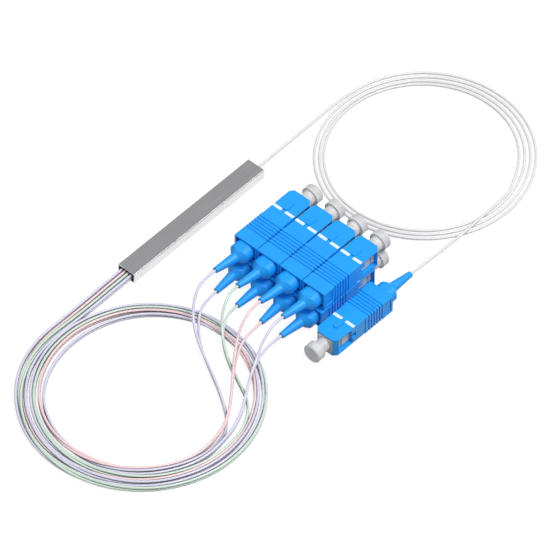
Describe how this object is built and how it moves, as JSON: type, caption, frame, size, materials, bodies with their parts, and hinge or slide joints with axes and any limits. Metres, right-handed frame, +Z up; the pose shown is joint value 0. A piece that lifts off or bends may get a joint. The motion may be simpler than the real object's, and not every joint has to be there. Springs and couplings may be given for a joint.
{
  "type": "plc fibre splitter",
  "caption": "Fibre-optic splitter: a flat steel tube with an input lead and coiled output leads, each ending in a blue push-pull plug with a dust cap.",
  "frame": {"origin": "middle of the steel tube's underside, on the surface that everything lies on", "axes": "+X along the tube towards the input lead, +Y away from the plugs, +Z up"},
  "size_m": [0.2098, 0.0798, 0.015],
  "materials": {
    "steel": "cold-rolled strip, satin",
    "chip_glass": "polished, lidded",
    "block_glass": "polished",
    "seal_dark": "matt silicone",
    "frame_plastic": "off-white moulding, satin",
    "spring_steel": "bright wire",
    "housing_blue": "moulded, satin gloss",
    "boot_blue": "soft moulding, satin",
    "ceramic": "polished zirconia",
    "cap_clear": "translucent, frosted",
    "mark_white": "printed",
    "fibre_lavender": "satin buffer",
    "fibre_green": "satin buffer",
    "fibre_pink": "satin buffer",
    "fibre_clear": "satin buffer"
  },
  "bodies": {
    "base": {"steel_tube": "steel", "splitter_chip": "chip_glass", "input_fibre_block": "block_glass", "output_fibre_block": "block_glass", "input_seal": "seal_dark", "output_seal": "seal_dark", "rear_stops": "frame_plastic", "ferrule_springs": "spring_steel", "fibre_pair_1": "fibre_lavender", "fibre_pair_2": "fibre_green", "fibre_pair_3": "fibre_pink", "fibre_pair_4": "fibre_lavender", "input_fibre": "fibre_clear", "output_coil": "fibre_lavender", "input_coil": "fibre_clear", "output_1_plug_frame": "frame_plastic", "output_1_boot": "boot_blue", "output_2_plug_frame": "frame_plastic", "output_2_boot": "boot_blue", "output_3_plug_frame": "frame_plastic", "output_3_boot": "boot_blue", "output_4_plug_frame": "frame_plastic", "output_4_boot": "boot_blue", "output_5_plug_frame": "frame_plastic", "output_5_boot": "boot_blue", "output_6_plug_frame": "frame_plastic", "output_6_boot": "boot_blue", "output_7_plug_frame": "frame_plastic", "output_7_boot": "boot_blue", "output_8_plug_frame": "frame_plastic", "output_8_boot": "boot_blue", "input_plug_frame": "frame_plastic", "input_boot": "boot_blue"},
    "output_1_sleeve": {"output_1_housing": "housing_blue"},
    "output_1_pin": {"output_1_ferrule": "ceramic"},
    "output_1_cap": {"output_1_dust_cap": "cap_clear"},
    "output_2_sleeve": {"output_2_housing": "housing_blue"},
    "output_2_pin": {"output_2_ferrule": "ceramic"},
    "output_2_cap": {"output_2_dust_cap": "cap_clear"},
    "output_3_sleeve": {"output_3_housing": "housing_blue"},
    "output_3_pin": {"output_3_ferrule": "ceramic"},
    "output_3_cap": {"output_3_dust_cap": "cap_clear"},
    "output_4_sleeve": {"output_4_housing": "housing_blue"},
    "output_4_pin": {"output_4_ferrule": "ceramic"},
    "output_4_cap": {"output_4_dust_cap": "cap_clear"},
    "output_5_sleeve": {"output_5_housing": "housing_blue"},
    "output_5_pin": {"output_5_ferrule": "ceramic"},
    "output_5_cap": {"output_5_dust_cap": "cap_clear"},
    "output_6_sleeve": {"output_6_housing": "housing_blue"},
    "output_6_pin": {"output_6_ferrule": "ceramic"},
    "output_6_cap": {"output_6_dust_cap": "cap_clear"},
    "output_7_sleeve": {"output_7_housing": "housing_blue"},
    "output_7_pin": {"output_7_ferrule": "ceramic"},
    "output_7_cap": {"output_7_dust_cap": "cap_clear"},
    "output_8_sleeve": {"output_8_housing": "housing_blue"},
    "output_8_pin": {"output_8_ferrule": "ceramic"},
    "output_8_cap": {"output_8_dust_cap": "cap_clear"},
    "input_sleeve": {"input_housing": "housing_blue"},
    "input_pin": {"input_ferrule": "ceramic"},
    "input_cap": {"input_dust_cap": "cap_clear"}
  },
  "joints": [
    {"name": "output_1_housing_slide", "type": "slide", "parent": "base", "child": "output_1_sleeve", "axis": [-1, 0, 0], "range_m": [0, 0.0018]},
    {"name": "output_1_ferrule_float", "type": "slide", "parent": "base", "child": "output_1_pin", "axis": [-1, 0, 0], "range_m": [0, 0.001], "stiffness_N_per_m": 1000, "deforming": ["ferrule_springs"]},
    {"name": "output_1_cap_pull", "type": "slide", "parent": "output_1_pin", "child": "output_1_cap", "axis": [1, 0, 0], "range_m": [0, 0.0053]},
    {"name": "output_2_housing_slide", "type": "slide", "parent": "base", "child": "output_2_sleeve", "axis": [-1, 0, 0], "range_m": [0, 0.0018]},
    {"name": "output_2_ferrule_float", "type": "slide", "parent": "base", "child": "output_2_pin", "axis": [-1, 0, 0], "range_m": [0, 0.001], "stiffness_N_per_m": 1000, "deforming": ["ferrule_springs"]},
    {"name": "output_2_cap_pull", "type": "slide", "parent": "output_2_pin", "child": "output_2_cap", "axis": [1, 0, 0], "range_m": [0, 0.0053]},
    {"name": "output_3_housing_slide", "type": "slide", "parent": "base", "child": "output_3_sleeve", "axis": [-1, 0, 0], "range_m": [0, 0.0018]},
    {"name": "output_3_ferrule_float", "type": "slide", "parent": "base", "child": "output_3_pin", "axis": [-1, 0, 0], "range_m": [0, 0.001], "stiffness_N_per_m": 1000, "deforming": ["ferrule_springs"]},
    {"name": "output_3_cap_pull", "type": "slide", "parent": "output_3_pin", "child": "output_3_cap", "axis": [1, 0, 0], "range_m": [0, 0.0053]},
    {"name": "output_4_housing_slide", "type": "slide", "parent": "base", "child": "output_4_sleeve", "axis": [-1, 0, 0], "range_m": [0, 0.0018]},
    {"name": "output_4_ferrule_float", "type": "slide", "parent": "base", "child": "output_4_pin", "axis": [-1, 0, 0], "range_m": [0, 0.001], "stiffness_N_per_m": 1000, "deforming": ["ferrule_springs"]},
    {"name": "output_4_cap_pull", "type": "slide", "parent": "output_4_pin", "child": "output_4_cap", "axis": [1, 0, 0], "range_m": [0, 0.0053]},
    {"name": "output_5_housing_slide", "type": "slide", "parent": "base", "child": "output_5_sleeve", "axis": [-1, 0, 0], "range_m": [0, 0.0018]},
    {"name": "output_5_ferrule_float", "type": "slide", "parent": "base", "child": "output_5_pin", "axis": [-1, 0, 0], "range_m": [0, 0.001], "stiffness_N_per_m": 1000, "deforming": ["ferrule_springs"]},
    {"name": "output_5_cap_pull", "type": "slide", "parent": "output_5_pin", "child": "output_5_cap", "axis": [1, 0, 0], "range_m": [0, 0.0053]},
    {"name": "output_6_housing_slide", "type": "slide", "parent": "base", "child": "output_6_sleeve", "axis": [-1, 0, 0], "range_m": [0, 0.0018]},
    {"name": "output_6_ferrule_float", "type": "slide", "parent": "base", "child": "output_6_pin", "axis": [-1, 0, 0], "range_m": [0, 0.001], "stiffness_N_per_m": 1000, "deforming": ["ferrule_springs"]},
    {"name": "output_6_cap_pull", "type": "slide", "parent": "output_6_pin", "child": "output_6_cap", "axis": [1, 0, 0], "range_m": [0, 0.0053]},
    {"name": "output_7_housing_slide", "type": "slide", "parent": "base", "child": "output_7_sleeve", "axis": [-1, 0, 0], "range_m": [0, 0.0018]},
    {"name": "output_7_ferrule_float", "type": "slide", "parent": "base", "child": "output_7_pin", "axis": [-1, 0, 0], "range_m": [0, 0.001], "stiffness_N_per_m": 1000, "deforming": ["ferrule_springs"]},
    {"name": "output_7_cap_pull", "type": "slide", "parent": "output_7_pin", "child": "output_7_cap", "axis": [1, 0, 0], "range_m": [0, 0.0053]},
    {"name": "output_8_housing_slide", "type": "slide", "parent": "base", "child": "output_8_sleeve", "axis": [-1, 0, 0], "range_m": [0, 0.0018]},
    {"name": "output_8_ferrule_float", "type": "slide", "parent": "base", "child": "output_8_pin", "axis": [-1, 0, 0], "range_m": [0, 0.001], "stiffness_N_per_m": 1000, "deforming": ["ferrule_springs"]},
    {"name": "output_8_cap_pull", "type": "slide", "parent": "output_8_pin", "child": "output_8_cap", "axis": [1, 0, 0], "range_m": [0, 0.0053]},
    {"name": "input_housing_slide", "type": "slide", "parent": "base", "child": "input_sleeve", "axis": [1, 0, 0], "range_m": [0, 0.0018]},
    {"name": "input_ferrule_float", "type": "slide", "parent": "base", "child": "input_pin", "axis": [1, 0, 0], "range_m": [0, 0.001], "stiffness_N_per_m": 1000, "deforming": ["ferrule_springs"]},
    {"name": "input_cap_pull", "type": "slide", "parent": "input_pin", "child": "input_cap", "axis": [-1, 0, 0], "range_m": [0, 0.0053]}
  ]
}
